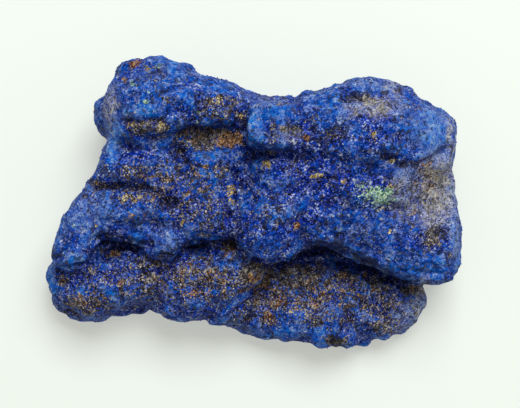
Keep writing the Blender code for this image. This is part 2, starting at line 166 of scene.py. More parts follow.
# Pores and dark crusts, and painted shade under the front ledge, the brow, the arm, the knob in front
# and the foot of the block
DARK = [
    (18.2, 19.2, 2.2, 0.9, 5, 1), (21.1, 19.9, 0.7, 0.5, 0, 0.6), (-17.1, 23.9, 0.7, 0.5, 0, 0.9),
    (-19.1, 24, 0.5, 0.5, 0, 0.5), (-16, 20.2, 0.9, 0.5, 0, 0.9), (-15.3, 18.3, 0.7, 0.7, -45, 0.8),
    (-10, 17.7, 0.5, 1.1, 0, 0.9), (-13.5, 21.7, 0.7, 0.7, 0, 0.4), (-18.5, 13, 1.6, 0.6, 0, 0.9),
    (-21.8, 12.5, 1.6, 0.9, 0, 0.7), (-20.3, 9.8, 0.5, 0.4, 0, 0.8), (-10.8, 11.7, 2.9, 1.3, 0, 0.65),
    (-12.6, 9, 1.4, 1.8, 0, 0.75), (-4.1, 14.6, 3.6, 0.7, 0, 0.75), (-6.8, 16.6, 4.7, 1.4, 0, 0.45),
    (-11.8, 15.4, 2.5, 1.1, 0, 0.5), (1.7, 9.4, 2.3, 0.5, 8, 0.55), (12.2, 11.2, 4, 2.5, 0, 0.55),
    (15.3, 12.6, 1.6, 1.4, 0, 0.5), (25.9, 14.6, 0.7, 0.9, 0, 0.8), (27, 11.9, 0.5, 1.1, 0, 0.8),
    (30.3, 11.6, 0.5, 0.9, 0, 0.6), (24.8, 9.8, 2.2, 1.6, 20, 0.6), (27.7, 6.7, 1.1, 0.5, -10, 1),
    (25.2, 7.4, 0.5, 0.4, 0, 0.8), (28.8, 6.3, 1.6, 0.5, 0, 0.9), (32.1, 7.4, 1.4, 0.5, 35, 0.8),
    (14.9, 8, 2.2, 1.4, 0, 0.35), (-22.1, 2.7, 4.9, 0.6, 0, 1), (-14.9, -0.2, 1.8, 1.3, 0, 0.85),
    (-16.4, 0.9, 1.1, 0.9, 0, 0.6), (-10.4, 4.3, 1.3, 0.5, 0, 0.8), (-5, 5.4, 1.4, 1.1, 30, 0.4),
    (-11.7, 7.6, 1.8, 1.4, 0, 0.4), (-28.5, 4, 0.7, 1.1, 0, 0.7), (-26.5, -6.7, 1.6, 1.1, -10, 0.95),
    (-22.1, -7, 3.6, 0.9, -5, 0.55), (-15.8, -10.5, 4.3, 1.1, 0, 0.8), (-10.2, -7.8, 1.6, 0.9, 0, 1),
    (-13.1, -8.1, 1.1, 0.9, 0, 0.7), (-3.3, -7.4, 1.6, 1.1, 0, 0.8), (-5.5, -10.8, 2.9, 1.1, 0, 0.4),
    (-36, -9.2, 0.7, 0.7, 0, 1), (-29.4, -18.8, 4.7, 1.1, 6, 0.5), (-18.9, -11.9, 1.8, 0.9, 0, 0.6),
    (-18.5, -15.2, 1.4, 2.5, 0, 0.5), (-7.7, -10.1, 5.1, 1.1, 0, 0.4), (-1.7, -9.6, 1.8, 0.9, 40, 0.8),
    (13.6, -8, 3.6, 1.8, 8, 1), (20.3, -10.8, 3.6, 1.1, -28, 1), (24.8, -13, 2.5, 0.9, -28, 0.8),
    (29.4, -14.5, 2.5, 0.5, -5, 0.6), (8.2, -9.9, 1.8, 0.7, 20, 0.4), (8.6, -12.6, 5.4, 2.2, 0, 0.25),
    (17.6, -13.2, 5.4, 1.4, -20, 0.35), (33.2, -4.7, 0.9, 0.7, 0, 1), (34.6, -6.1, 0.7, 0.7, 0, 0.7),
    (33.3, -11.6, 0.7, 0.5, 0, 0.8), (29, -11.6, 2.2, 0.4, -5, 0.5), (14.7, -24.8, 1.8, 1.1, 0, 0.9),
    (8.9, 5.8, 1.4, 1.1, 0, 0.35), (14, 2.2, 2.9, 2.5, 0, 0.4), (3.2, -4.2, 3.3, 1.8, 0, 0.5),
    (25.7, -6.9, 1.8, 1.4, 0, 0.15), (-1.4, -21.3, 2.9, 1.8, 20, 0.5), (8.6, -15.9, 2.5, 1.8, 0, 0.35),
    (-8.6, -14.1, 6.1, 2.9, -8, 0.25),
]
# A thin film of grey clay over the crust
CLAYEY = [
    (33.2, 1.8, 3.1, 5.8, 0, 0.85), (32.4, 5.4, 2.3, 2, 0, 1), (33.9, 4.7, 2.2, 2.9, 0, 0.8),
    (35.7, 11.2, 0.7, 4.3, 0, 0.8), (-25.7, 17.2, 1.1, 2.7, 0, 0.6), (6.8, 12.5, 2.2, 1.3, 0, 0.35),
    (32.1, 13, 3.3, 4.3, 0, 0.12), (-29.7, -1.8, 4.3, 2.5, 25, 0.12), (22.1, 17.2, 4.7, 1.6, 0, 0.45),
    (25.2, 20.6, 1.4, 1.3, 0, 0.45), (1.7, 18.4, 4.7, 1.1, 0, 0.08), (36.6, -6.9, 0.7, 3.3, 0, 0.3),
    (22.1, 21.3, 4.3, 0.9, -10, 0.15), (-25.2, 13, 1.1, 3.6, 0, 0.12), (-15.8, -6.5, 2.3, 2.3, 0, 0.1),
    (27.6, 1.8, 2.5, 4, 0, 0.45), (28.5, -21.3, 2.9, 2.9, 0, 0.3), (30.3, -17.7, 0.9, 3.6, -15, 0.5),
]
# Clean, even, sky-blue crust
BRIGHT = [
    (-25.2, 11.6, 1.6, 4.3, 0, 1), (-20.3, 16.6, 4, 1.6, 0, 0.7), (-18.5, 21.1, 6.1, 4.7, 0, 0.38),
    (-14.5, 24.6, 3.3, 1.3, -20, 0.8), (-7.7, 21.3, 4.3, 1.1, -18, 0.6), (0.3, 13, 1.3, 3.3, 0, 1),
    (4.1, 16.3, 2.9, 1.4, 10, 0.8), (1, 17.5, 2.5, 1.4, 0, 0.5), (12.6, 18.8, 4.7, 1.8, 0, 0.6),
    (14.9, 16.3, 2.5, 1.4, 0, 0.6), (21.2, 21.3, 4, 1.4, -10, 0.7), (32.4, 12.6, 3.3, 4.7, 0, 1),
    (28.1, 15.2, 2.5, 2.5, 0, 0.5), (14, 14.8, 3.6, 1.1, 0, 0.4), (18.5, 9.8, 2.5, 1.4, 0, 0.35),
    (22.7, 6.7, 2.5, 1.8, 0, 0.5), (27.6, 5.4, 2.2, 1.6, 0, 0.6), (35.7, 1.8, 1.4, 1.4, 0, 1),
    (37, -7.8, 0.9, 5.1, 0, 0.95), (32.1, -11.2, 5.1, 2.5, 8, 0.6), (26.7, -10.1, 3.6, 1.4, -20, 0.6),
    (-7.7, 8.3, 2.5, 1.1, 0, 0.55), (-2.6, 8, 1.8, 1.8, 0, 0.5), (-1.5, 1.3, 1.6, 2.2, 0, 0.35),
    (3.2, 1.1, 2.9, 2.2, 0, 0.25), (-26.7, 1.1, 1.4, 0.9, 0, 0.9), (-29.4, -2.3, 5.1, 2.7, 25, 0.62),
    (-32.6, -10.5, 2.5, 1.1, 8, 0.7), (-36.4, -14.1, 0.9, 4.3, 0, 1), (-25.4, -17, 1.8, 1.4, 0, 0.7),
    (-15.6, -6.5, 2.5, 2.9, 0, 0.5), (-20.7, -2.5, 3.6, 2.2, 0, 0.5), (-11.3, -5.6, 1.4, 1.8, 0, 0.4),
    (-34.8, -6, 0.9, 3.6, -25, 0.6), (-2.3, -17.3, 3.6, 0.7, 38, 0.6), (8.6, -23.5, 6.1, 1.1, 0, 0.6),
    (3.2, -23.9, 4, 0.7, 0, 0.7), (8.6, -20.6, 1.4, 1.1, 0, 0.4), (14.4, -19.2, 1.4, 1.8, 0, 0.4),
    (19.1, -20.2, 1.4, 1.3, 0, 0.4), (29.4, -19.9, 2.2, 3.6, -20, 0.6), (23.9, -25.1, 4, 0.9, 12, 0.8),
    (-10.4, -18.3, 1.1, 1.1, 0, 0.7), (-8, -16.3, 1.6, 0.7, 0, 0.6), (-15.8, 10.5, 2.9, 1.1, 0, 0.5),
    (-24.3, -18.1, 1.1, 1.1, 0, 0.5), (20.5, -4, 6.9, 3.6, 0, 0.42), (2.8, -8, 2.9, 1.4, 0, 0.25),
]
# Deep ultramarine crust
DEEP = [
    (14, 2.2, 9.4, 4, -12, 1), (1.7, -5.4, 6.1, 1.8, 0, 0.8), (17.6, 10.7, 6.1, 1.6, 0, 0.8),
    (-21.2, 16.3, 4.7, 1.4, 0, 0.8), (-24.8, 8.5, 2.5, 2.2, 0, 0.7), (-14, -0.5, 4.7, 2.5, 0, 0.6),
    (2.3, -17.7, 3.6, 1.4, 0, 0.5), (32.1, -7.6, 4.7, 2.5, 0, 0.6), (8.6, 6.7, 5.1, 1.8, 0, 0.4),
    (-16.7, -12.3, 4.7, 2.2, 0, 0.6), (-18.5, -20.2, 6.1, 0.9, 0, 0.8), (-28.5, -13.4, 4.3, 1.4, 0, 0.7),
]
# Malachite tufts
MALACHITE = [
    (23.4, 1.4, 2.3, 1.6, 0, 0.9), (22, 0.9, 3.3, 1.6, 0, 0.6), (25.7, 0.5, 1.1, 0.5, 0, 0.6),
    (19.8, 3.1, 1.1, 1.4, -40, 0.45), (18.7, 0.4, 1.1, 0.9, 0, 0.4), (-19.1, 18.3, 0.9, 0.5, 0, 0.6),
    (-21.8, 21.3, 0.4, 0.9, 25, 0.6), (-19.1, 20.1, 0.7, 0.4, 0, 0.5), (-17.3, 24.9, 0.9, 0.5, 0, 0.5),
    (-10, 14.5, 0.5, 0.5, 0, 0.6), (-9.5, 16.6, 0.7, 0.5, 0, 0.4), (-32.3, -4.3, 0.5, 0.5, 0, 0.5),
]

# Creases and pits carved into the skin and small lumps raised on it, on the same plan: a list
# of points, the width and the depth or height.
CREASES = [
    ([(-28.5, 2.3), (-26.1, 2.7), (-23, 2.9), (-20, 2.7), (-17.1, 1.8)], 0.7, 1.3),
    ([(-1.2, 17), (-1.4, 9.8)], 0.5, 0.9), ([(-0.5, 9.4), (5.5, 8.9)], 0.7, 0.5),
    ([(-3.2, 5.4), (-3.3, 0.4), (-2.6, -6)], 0.6, 1), ([(23.9, 8), (26.7, 6.5), (28.8, 6.7)], 0.7, 0.9),
    ([(24.7, 7.2), (28.5, 6.3), (31, 6.9), (32.8, 8), (35.5, 9.8)], 0.6, 0.9),
    ([(8.2, 19.3), (8.6, 16.6)], 0.5, 0.6), ([(-4.2, -20.6), (1.9, -15.5)], 0.7, 0.4),
    ([(25.7, -10.8), (35.7, -11.7)], 0.4, 0.4), ([(26.7, -12.3), (36, -13.2)], 0.4, 0.4),
    ([(28.1, -9.8), (36.4, -10.5)], 0.4, 0.3), ([(-37.5, -10.7), (-34.8, -10.1)], 0.5, 0.9),
    ([(-16, 25.7), (-16.2, 23.5)], 0.5, 0.8), ([(-13.5, 13.4), (-1.4, 12.8)], 0.7, 0.7),
    ([(6.2, 15.2), (8, 11.7), (7.1, 9.4)], 0.7, 0.3), ([(10.2, 5.4), (20.1, 2.9)], 0.7, 0.35),
    ([(-23.6, 14.8), (-15.8, 14.6), (-13.5, 13.6)], 0.7, 0.6), ([(-10.2, 19.3), (-9.8, 16.3)], 0.5, 0.8),
    ([(-10.9, 6.5), (-4.8, 6.5)], 0.7, 0.5), ([(-14, 10.3), (-12, 6.7)], 0.9, 0.8),
    ([(-16.7, -1.3), (-13.1, -0.7)], 0.7, 0.5), ([(-18.5, -9.9), (-12.7, -10.1)], 0.7, 0.8),
    ([(-27.6, -7), (-18.5, -7.8)], 0.7, 0.9), ([(-34.8, -11.9), (-29.7, -11)], 0.5, 0.5),
    ([(-3.7, -6.9), (-1.4, -10.1)], 0.7, 0.7),
    ([(-0.5, -11), (6.8, -10.8), (10.8, -8.9), (15.8, -8.9), (19.8, -11), (23.8, -13.4),
      (27.4, -15)], 0.7, 1.3),
]
PITS = [
    ([(16.9, 19.2), (19.2, 19)], 0.7, 1.5), ([(-15.8, 0), (-14.4, -0.4)], 1.1, 1.1),
    ([(-11.3, -7.8), (-9.1, -8)], 0.9, 1.2), ([(32.3, -4.9), (33.3, -5.1)], 0.9, 0.4),
    ([(25.4, 7.8), (25.7, 7.4)], 0.7, 0.9), ([(20.5, 19.9), (21.1, 19.9)], 0.7, 0.6),
    ([(3.5, 14.8), (3.9, 13.7)], 0.5, 0.5), ([(14.7, -24.6), (14.7, -25.7)], 1.1, 1),
    ([(-34.4, -14.3), (-34.1, -14.6)], 0.6, 0.8), ([(-17.3, 23.9), (-16.7, 23.7)], 0.5, 0.6),
    ([(-16.4, 20.2), (-15.4, 20.2)], 0.5, 0.7), ([(-19.2, 24.2), (-18.9, 24)], 0.5, 0.5),
    ([(25.9, 14.8), (25.9, 14.5)], 0.5, 0.7), ([(27, 12.3), (27, 11.6)], 0.5, 0.7),
    ([(-19.2, -13.4), (-18.5, -13.9)], 1.1, 0.5), ([(33.2, -11.6), (33.5, -11.6)], 0.5, 0.5),
    ([(30.3, 11.6), (30.3, 11.2)], 0.5, 0.5), ([(-26.8, -6.5), (-25.7, -6.9)], 0.9, 0.8),
]
RISES = [
    ([(10.8, 4.5), (12.4, 4.9)], 0.4, 0.5), ([(2.3, 6.9), (2.4, 6.9)], 0.6, 0.45),
    ([(16.4, 3.6), (16.5, 3.6)], 0.5, 0.4), ([(8, -4), (8, -4.3)], 0.5, 0.4),
    ([(24.7, 2.9), (24.8, 2.5)], 0.5, 0.4), ([(-3.7, 3.3), (-4.1, -0.2)], 0.3, 0.4),
    ([(9.5, 11.7), (10, 11.7)], 0.5, 0.35), ([(22, 12.3), (22.1, 12.3)], 0.5, 0.35),
    ([(-21.8, 25.1), (-20.9, 25.5)], 0.7, 0.5), ([(-12.6, 18.8), (-11.7, 17.7)], 1.6, 0.8),
    ([(-21.6, 16.3), (-18.5, 16.3)], 1.4, 0.5), ([(-8.9, 8.5), (-6.6, 8.3)], 1.3, 0.6),
    ([(-25.7, -16.6), (-25, -17.3)], 1.3, 0.6), ([(-11.5, -5.1), (-11.1, -6.3)], 1.1, 0.5),
    ([(-5.1, -19.3), (0.8, -15.7)], 0.9, 0.35), ([(-34.1, -10.8), (-30.4, -10.1)], 0.7, 0.5),
    ([(-27, 1.1), (-26.1, 1.4)], 0.9, 0.4), ([(-0.5, 15.2), (-0.5, 10.5)], 0.5, 0.4),
    ([(1.7, 17), (6.1, 17)], 0.6, 0.4), ([(13.8, -18.4), (14.2, -20.2)], 1.1, 0.4),
    ([(18.9, -20.1), (19.4, -20.4)], 1.1, 0.35), ([(-8.4, -16.3), (-7.5, -16.3)], 0.9, 0.35),
    ([(8.2, -20.4), (8.9, -21)], 0.9, 0.3),
    ([(-2.3, -7.6), (2.3, -9.9), (6.8, -9.2), (9.7, -7.4), (12.6, -6.3), (16.2, -6.9), (19.8, -8.9),
      (23.4, -11), (27, -12.8), (32.1, -13.9), (35.7, -13.6)], 0.5, 0.45),
]

# A grain's shape: how many sides it has, and how far it is stretched. It may turn any way.
LUMP = (5, (1.0, 0.85, 0.85))
CRYSTAL = (4, (0.7, 1.0, 1.45))
NEEDLE = (4, (0.35, 0.35, 2.2))
FULL_TURN = 6.283

# Each mineral's grains: material name, colour, roughness, index of refraction and shape. The
# comments say what its grains are and what that gives the eye.
MINERALS = {
    "light": ("azurite_light", "#4A6CC8", 0.35, 1.75, CRYSTAL),   # thin crystals, lit through
    "mid": ("azurite_mid", "#1E36A0", 0.35, 1.75, CRYSTAL),       # ultramarine, glassy
    "deep": ("azurite_deep", "#0E1440", 0.30, 1.75, CRYSTAL),     # thick crystals, almost black
    "tan": ("quartz_sand_tan", "#8C8074", 0.65, 1.54, LUMP),      # stained quartz, matt
    "brown": ("quartz_sand_brown", "#443A36", 0.80, 1.54, LUMP),  # clay-coated quartz, matt
    "iron": ("limonite_ochre", "#A88A50", 0.85, 1.60, LUMP),      # rusty, dusty
    # pale quartz sand, its pale specks partly painted glints
    "quartz": ("quartz_pale_and_painted_glint", "#B4B8C4", 0.25, 1.54, CRYSTAL),   # pale glints
    "malachite": ("malachite", "#A4C4A8", 0.60, 1.70, NEEDLE),    # pale green tufts, silky
}

# Grains strewn on the skin: name, mineral, how many to a square millimetre at full
# share, least and greatest size in mm, the share that says where they lie, and a seed
GRAINS = [
    ("azurite_crystals_light", "light", 0.7, 0.14, 0.24, "azurite", 11),
    ("azurite_crystals_mid", "mid", 1.6, 0.18, 0.34, "azurite", 12),
    ("azurite_crystals_deep", "deep", 1.4, 0.18, 0.36, "deep", 13),
    ("sand_grains_tan", "tan", 3.4, 0.12, 0.20, "sandy_grains", 14),
    ("sand_grains_brown", "brown", 3.0, 0.16, 0.30, "sandy_grains", 15),
    ("iron_grains", "iron", 3.0, 0.18, 0.36, "gold_grains", 16),
    ("quartz_grains", "quartz", 3.0, 0.10, 0.18, "pale", 17),
    ("malachite_needles", "malachite", 7.0, 0.12, 0.26, "malachite_grains", 18),
]

# The crust's own pattern, in mm: a crystal, which has one colour, a clump of like crystals,
# a streak of sand or ochre, and a drift of lighter or darker crust
CRYSTAL_WIDTH = 0.27
CLUMP_WIDTH = 0.65
STREAK_WIDTH = 1.2
DRIFT_WIDTH = 1.7

# Colours of what the crust is made of, from the darkest grains to the palest, the palest blues
# being painted glints; and the dark of pores and of painted shade, and the painted shade in hollows
ULTRAMARINE = [(0.0, "#080A22"), (0.22, "#121C5A"), (0.46, "#182C94"), (0.68, "#2A42AC"),
               (0.82, "#4C60AE"), (0.92, "#7A84B2"), (1.0, "#B0B4CC")]
AZURE = [(0.0, "#123074"), (0.25, "#1E489C"), (0.50, "#3266B6"), (0.74, "#5C84BC"),
         (0.88, "#8498BC"), (1.0, "#B4C0D4")]
QUARTZ_SAND = [(0.0, "#18151A"), (0.30, "#343032"), (0.55, "#585054"), (0.80, "#827A76"),
               (1.0, "#BEB2A2")]
CLAY = [(0.0, "#8E8A82"), (0.5, "#BAB4AA"), (1.0, "#D4D0C6")]
IRON_OCHRE = [(0.0, "#2E1C18"), (0.4, "#68442E"), (0.75, "#966A46"), (1.0, "#BC9870")]
LIMONITE = [(0.0, "#5C4A2A"), (0.4, "#98824E"), (0.75, "#B8A268"), (1.0, "#E0D4AC")]
GREEN = [(0.0, "#2C4A42"), (0.5, "#709C84"), (1.0, "#C4D4B8")]
PORE_AND_SHADE_DARK = "#1C181C"
SHADE = "#12101C"


def linear(hex_colour):
    """An sRGB hex colour as the linear numbers that a shader takes."""
    parts = [int(hex_colour[i:i + 2], 16) / 255 for i in (1, 3, 5)]
    return [p / 12.92 if p <= 0.04045 else ((p + 0.055) / 1.055) ** 2.4 for p in parts] + [1.0]


def add_node(tree, kind, settings=None, inputs=None, stops=None):
    """Adds a node. An input is a value, a socket to link, or a node whose first output is
    linked, and stops are a colour ramp's places and colours."""
    node = tree.nodes.new(kind)
    for name, value in (settings or {}).items():
        setattr(node, name, value)
    for key, value in (inputs or {}).items():
        if isinstance(value, bpy.types.Node):
            value = value.outputs[0]
        if isinstance(value, bpy.types.NodeSocket):
            tree.links.new(value, node.inputs[key])
        else:
            node.inputs[key].default_value = value
    for i, (place, colour) in enumerate(stops or []):
        ramp = node.color_ramp.elements
        stop = ramp[i] if i < 2 else ramp.new(place)
        stop.position, stop.color = place, linear(colour)
    return node


def new_material(name):
    """A material with no nodes, and its node tree."""
    material = bpy.data.materials.new(name)
    material.use_nodes = True
    material.node_tree.nodes.clear()
    return material, material.node_tree


# ---------------------------------------------------------------- the skin of the rock

def select_only(obj):
    bpy.ops.object.select_all(action="DESELECT")
    obj.select_set(True)
    bpy.context.view_layer.objects.active = obj


def apply_modifier(obj, kind, **settings):
    select_only(obj)
    modifier = obj.modifiers.new(kind.lower(), kind)
    for name, value in settings.items():
        setattr(modifier, name, value)
    bpy.ops.object.modifier_apply(modifier=modifier.name)


def vertex_places(mesh):
    places = np.empty(len(mesh.vertices) * 3)
    mesh.vertices.foreach_get("co", places)
    return places.reshape(-1, 3)


def vertex_normals(mesh):
    normals = np.empty(len(mesh.vertices) * 3)
    mesh.vertex_normals.foreach_get("vector", normals)
    return normals.reshape(-1, 3)


def on_plan(places):
    """Places in mm on a plan at the level of AIM, each as the eye above sees it."""
    reach = (EYE.z - AIM.z) / (EYE.z - places[:, 2])
    eye = np.array(EYE)[:2]
    return (eye + (places[:, :2] - eye) * reach[:, None]) / MM


def facing_up(normals, margin=0.0):
    """From 0 on upright sides to 1 on the upper side. A margin takes in some of the sides."""
    return np.clip(normals[:, 2] * 2.5 + margin, 0, 1)


def above_rim(places, rim, fade):
    """From 0 at the height of the rim to 1 higher up, over a height of fade, both in mm."""
    return np.clip((places[:, 2] / MM - rim) / fade, 0, 1)


def wandering(places, size, seed):
    """Smooth random numbers from about -1 to 1 that change over this size in mm. Each seed
    reads another part of the noise."""
    shift = Vector((seed * 7.3, seed * 3.1, seed * 5.7))
    return np.array([noise.noise(Vector(p) / (size * MM) + shift) for p in places]) * 1.6


def patch_share(plan, patches, ragged=0.0):
    """How far each place lies in the patches, from 0 to the strength of the strongest. Ragged
    moves each place a little, less for a narrow patch, so that the edges wander. A patch has
    its full strength inside two thirds of its size, and is gone at one and a half times."""
    share = np.zeros(len(plan))
    for x, y, half_length, half_width, turn, strength in patches:
        away = plan - (x, y) + min(0.7, 0.4 * half_width) * ragged
        c, s = cos(radians(turn)), sin(radians(turn))
        along = (away[:, 0] * c + away[:, 1] * s) / half_length
        across = (away[:, 1] * c - away[:, 0] * s) / half_width
        share = np.maximum(share, strength * np.clip(1.7 - 1.1 * np.hypot(along, across), 0, 1))
    return share


def stroke_depth(plan, strokes):
    """The depth in mm that these strokes carve, or the height they raise, at each place."""
    depth = np.zeros(len(plan))
    for points, width, deepest in strokes:
        for start, end in zip(points[:-1], points[1:]):
            start, run = np.array(start), np.array(end) - np.array(start)
            part = np.clip((plan - start) @ run / (run @ run), 0, 1)
            away = np.linalg.norm(plan - start - part[:, None] * run, axis=1)
            depth = np.maximum(depth, deepest * np.exp(-((away / width) ** 2)))
    return depth


def weight_group(obj, name, weights):
    """Keeps a weight on each point, for a modifier to read, unless it is next to nothing."""
    group = obj.vertex_groups.new(name=name)
    for i in np.flatnonzero(weights > 0.004):
        group.add([int(i)], float(weights[i]), "REPLACE")


def move_skin(rock, name, moves):
    """Moves each point outwards by its own distance in mm, or inwards if the sign is minus."""
    furthest = moves[np.argmax(abs(moves))]
    weight_group(rock, name, moves / furthest)
    apply_modifier(rock, "DISPLACE", strength=furthest * MM, mid_level=0.0, vertex_group=name)


def roughen(rock, name, kind, size, strength):
    """Moves the skin in and out, by a pattern of this size and strength, both in mm."""
    texture = bpy.data.textures.new(name, kind)
    texture.noise_scale = size * MM
    apply_modifier(rock, "DISPLACE", texture=texture, texture_coords="LOCAL",
                   strength=strength * MM, mid_level=0.5, vertex_group="above_the_rim")


def settle(rock):
    """Presses what lies within a hair of the underside flat onto it."""
    places = vertex_places(rock.data)
    places[places[:, 2] < PRESSED_FLAT * MM, 2] = 0
    rock.data.vertices.foreach_set("co", places.ravel())
    rock.data.update()


def unwrap_skin(rock):
    """The map that the crust's colours are baked to, made while the skin is still smooth."""
    rock.data.uv_layers.new(name="OFBake")
    bpy.ops.object.mode_set(mode="EDIT")
    bpy.ops.mesh.select_all(action="SELECT")
    bpy.ops.uv.smart_project(angle_limit=radians(75), island_margin=0.002)
    bpy.ops.object.mode_set(mode="OBJECT")


def even_skin():
    """A copy of the solid, its skin remade of small even faces."""
    solid = next(obj for obj in bpy.data.objects if obj.name == NODE)
    rock = bpy.data.objects.new("azurite_rock_crust", solid.data.copy())
    bpy.context.scene.collection.objects.link(rock)
    select_only(rock)
    bpy.ops.object.mode_set(mode="EDIT")
    bpy.ops.mesh.select_all(action="SELECT")
    bpy.ops.mesh.remove_doubles(threshold=1e-6)
    bpy.ops.object.mode_set(mode="OBJECT")
    apply_modifier(rock, "REMESH", mode="VOXEL", voxel_size=SKIN_GRID * MM)
    apply_modifier(rock, "SMOOTH", factor=0.5, iterations=SKIN_SMOOTHING)
    unwrap_skin(rock)
    return rock


def rock_skin():
    """The rock's skin: carved, raised and roughened, less on clean crust and on steep sides,
    and flat underneath."""
    rock = even_skin()
    places, normals = vertex_places(rock.data), vertex_normals(rock.data)
    plan, seen = on_plan(places), facing_up(normals)
    above = above_rim(places, ROUGH_FROM, ROUGH_OVER)
    clean = patch_share(plan, BRIGHT) * seen
    rough = above * np.clip(0.16 + 1.4 * normals[:, 2], 0.2, 1) * (1 - 0.6 * clean)
    weight_group(rock, "above_the_rim", rough)
    carved = np.maximum(stroke_depth(plan, CREASES), stroke_depth(plan, PITS))
    move_skin(rock, "carved", -carved * seen * above)
    move_skin(rock, "raised", stroke_depth(plan, RISES) * seen * above)
    for name, kind, size, strength in ROUGHNESS:
        roughen(rock, name, kind, size, strength)
    settle(rock)
    rock.vertex_groups.clear()
    bpy.ops.object.shade_smooth()
    return rock


# ---------------------------------------------------------------- what grows where

def sunk_below(rock, passes):
    """How far in mm each point of the skin lies below the same skin made smoother."""
    smoother = bpy.data.objects.new("smoother", rock.data.copy())
    bpy.context.scene.collection.objects.link(smoother)
    apply_modifier(smoother, "SMOOTH", factor=0.5, iterations=passes)
    rise = vertex_places(smoother.data) - vertex_places(rock.data)
    bpy.data.objects.remove(smoother)
    return (rise * vertex_normals(rock.data)).sum(axis=1) / MM


def crust_shares(rock):
    """How much of each thing the crust holds at each point of the skin, from 0 to 1; hollow is painted
    shade.
    """
    places, normals = vertex_places(rock.data), vertex_normals(rock.data)
    plan = on_plan(places)
    ragged = np.stack([wandering(places, 1.6, 1), wandering(places, 1.6, 2)], axis=1)
    seen = facing_up(normals, margin=0.3)
    steep = np.clip(1.25 - 2.5 * normals[:, 2], 0, 1)

    def patches(table):
        return patch_share(plan, table, ragged) * seen

    clean = patches(BRIGHT)
    # outside the patches a little of everything wanders over the crust
    sand = 0.14 + 0.12 * wandering(places, 5.0, 3) + 0.18 * wandering(places, 1.8, 4)
    sand = np.maximum(patches(SANDY), sand + 0.28 * (1 - seen))
    gold = np.maximum(patches(GOLD), 0.8 * (wandering(places, 1.3, 5) - 0.85))
    rust = np.maximum(patches(RUST), 0.8 * (wandering(places, 1.5, 9) - 0.85))
    # the dark share is partly dark pores and crust, partly painted shade under overhangs
    dark = np.maximum(patches(DARK), 0.10 + 0.22 * wandering(places, 2.4, 6))
    bright = 0.25 + 0.45 * wandering(places, 2.6, 8) + 0.2 * steep - 0.5 * patches(DEEP)
    # painted shade: how deep each point lies in small and in wide hollows, to darken its colour there
    small, wide = sunk_below(rock, SMALL_HOLLOWS), sunk_below(rock, WIDE_HOLLOWS)
    shares = {
        "sandy": sand * (1 - 0.6 * clean) * (1 - 0.6 * steep),
        "gold": gold,
        "rust": rust,
        "dark": dark,
        "clayey": patches(CLAYEY) * (1 + 0.5 * wandering(places, 1.3, 7)),
        # painted light and shade: besides clean crust, the blue is made lighter and more even on crests
        # and deeper down in wide hollows
        "bright": np.maximum(clean, bright) - 0.5 * wide,
        "malachite": patches(MALACHITE),
        # painted shade in the hollows, not a thing the crust holds
        "hollow": np.maximum(small / SMALL_DEPTH, wide / WIDE_DEPTH),
        "steep": steep,
    }
    return {name: np.clip(share, 0, 1) for name, share in shares.items()}


def grain_shares(rock, crust):
    """How thickly each kind of grain lies at each point: on the upper side, and not in pores and painted
    shade.
    """
    places, normals = vertex_places(rock.data), vertex_normals(rock.data)
    above = above_rim(places, GRAINS_FROM, GRAINS_OVER)
    above = above * np.clip(1.6 * normals[:, 2] - 0.1, 0.03, 1)
    above = above * (1 - 0.9 * crust["dark"])
    azurite = above * (1 - 0.8 * crust["sandy"]) * (1 - crust["malachite"])
    return {
        "azurite": azurite,
        # deep crystals follow the bright share, so more lie in wide hollows and fewer on crests, partly
        # painted shade
        "deep": azurite * (1 - 0.85 * crust["bright"]),
        "pale": above * (0.10 + 0.80 * crust["sandy"]) * (1 - 0.8 * crust["bright"]),
        "sandy_grains": above * np.clip(1.4 * crust["sandy"] - 0.3, 0, 1),
        "gold_grains": above * crust["gold"],
        "malachite_grains": above * crust["malachite"],
    }


def store_shares(rock):
    """Keeps the shares on the skin, for the material and the grains, and returns the names
    of the crust's own."""
    crust = crust_shares(rock)
    for name, share in (crust | grain_shares(rock, crust)).items():
        kept = rock.data.attributes.new(name, "FLOAT", "POINT")
        kept.data.foreach_set("value", share)
    return list(crust)


# ---------------------------------------------------------------- minerals

